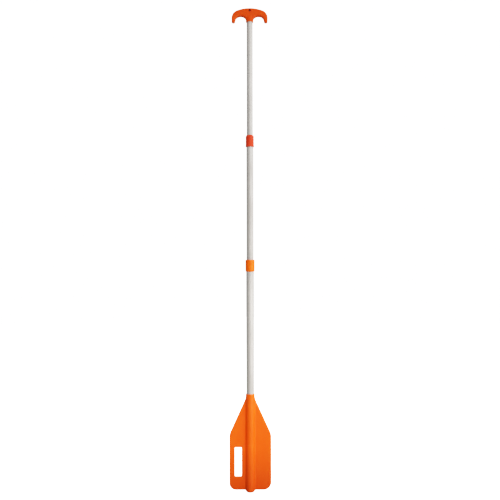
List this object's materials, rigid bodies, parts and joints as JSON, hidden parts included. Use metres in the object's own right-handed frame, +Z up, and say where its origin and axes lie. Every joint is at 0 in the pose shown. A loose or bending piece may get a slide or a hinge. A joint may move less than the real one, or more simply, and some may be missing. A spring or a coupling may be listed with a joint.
{
  "type": "telescoping paddle",
  "caption": "Telescoping boat paddle with a double-hook T-handle, sliding aluminium tubes with twist locks in moulded collars, and a flat blade with a hand hold.",
  "frame": {"origin": "centre of the hang hole in the handle, on the shaft's axis", "axes": "+Z up the shaft's axis from the blade to the handle, +X across the blade away from its hand hold, the blade's front faces -Y"},
  "size_m": [0.158, 0.0357, 1.829],
  "materials": {
    "handle_orange": "moulded orange plastic, satin",
    "blade_orange": "moulded orange plastic, satin",
    "collar_red": "moulded red-orange plastic, satin",
    "collar_orange": "moulded orange plastic, satin",
    "anodised_aluminium": "clear anodised, satin",
    "bearing_plastic": "natural acetal, matt",
    "lock_plastic": "black nylon, matt",
    "foam": "closed-cell foam",
    "steel": "stainless steel"
  },
  "bodies": {
    "grip_section": {"t_handle": "handle_orange", "handle_rivet": "steel", "upper_tube": "anodised_aluminium", "upper_lock_plug": "lock_plastic", "upper_plug_pin": "steel", "upper_cam_washer": "steel", "upper_cam_screw": "steel"},
    "upper_guide": {"upper_guide_ring": "bearing_plastic"},
    "upper_cam": {"upper_lock_cam": "lock_plastic"},
    "middle_section": {"middle_tube": "anodised_aluminium", "upper_collar": "collar_red", "upper_collar_bush": "bearing_plastic", "lower_lock_plug": "lock_plastic", "lower_plug_pin": "steel", "lower_cam_washer": "steel", "lower_cam_screw": "steel"},
    "lower_guide": {"lower_guide_ring": "bearing_plastic"},
    "lower_cam": {"lower_lock_cam": "lock_plastic"},
    "blade_section": {"lower_tube": "anodised_aluminium", "lower_collar": "collar_orange", "lower_collar_bush": "bearing_plastic", "lower_tube_bung": "foam", "blade": "blade_orange", "blade_rivet": "steel"}
  },
  "joints": [
    {"name": "upper_twist", "type": "hinge", "parent": "grip_section", "child": "upper_guide", "pos_m": [0, 0, -0.5273], "axis": [0, 0, 1], "range_deg": [0, 180]},
    {"name": "upper_slide", "type": "slide", "parent": "upper_guide", "child": "middle_section", "axis": [0, 0, 1], "range_m": [0, 0.4]},
    {"name": "upper_cam_turn", "type": "hinge", "parent": "grip_section", "child": "upper_cam", "pos_m": [0.00071, 0, -0.5309], "axis": [0, 0, 1], "range_deg": [0, 180]},
    {"name": "lower_twist", "type": "hinge", "parent": "middle_section", "child": "lower_guide", "pos_m": [0, 0, -0.9993], "axis": [0, 0, 1], "range_deg": [0, 180]},
    {"name": "lower_slide", "type": "slide", "parent": "lower_guide", "child": "blade_section", "axis": [0, 0, 1], "range_m": [0, 0.424]},
    {"name": "lower_cam_turn", "type": "hinge", "parent": "middle_section", "child": "lower_cam", "pos_m": [0.00071, 0, -1.0029], "axis": [0, 0, 1], "range_deg": [0, 180]}
  ],
  "couplings": [
    {"joint": "upper_cam_turn", "follows": "upper_twist", "ratio": 1},
    {"joint": "lower_cam_turn", "follows": "lower_twist", "ratio": 1}
  ]
}
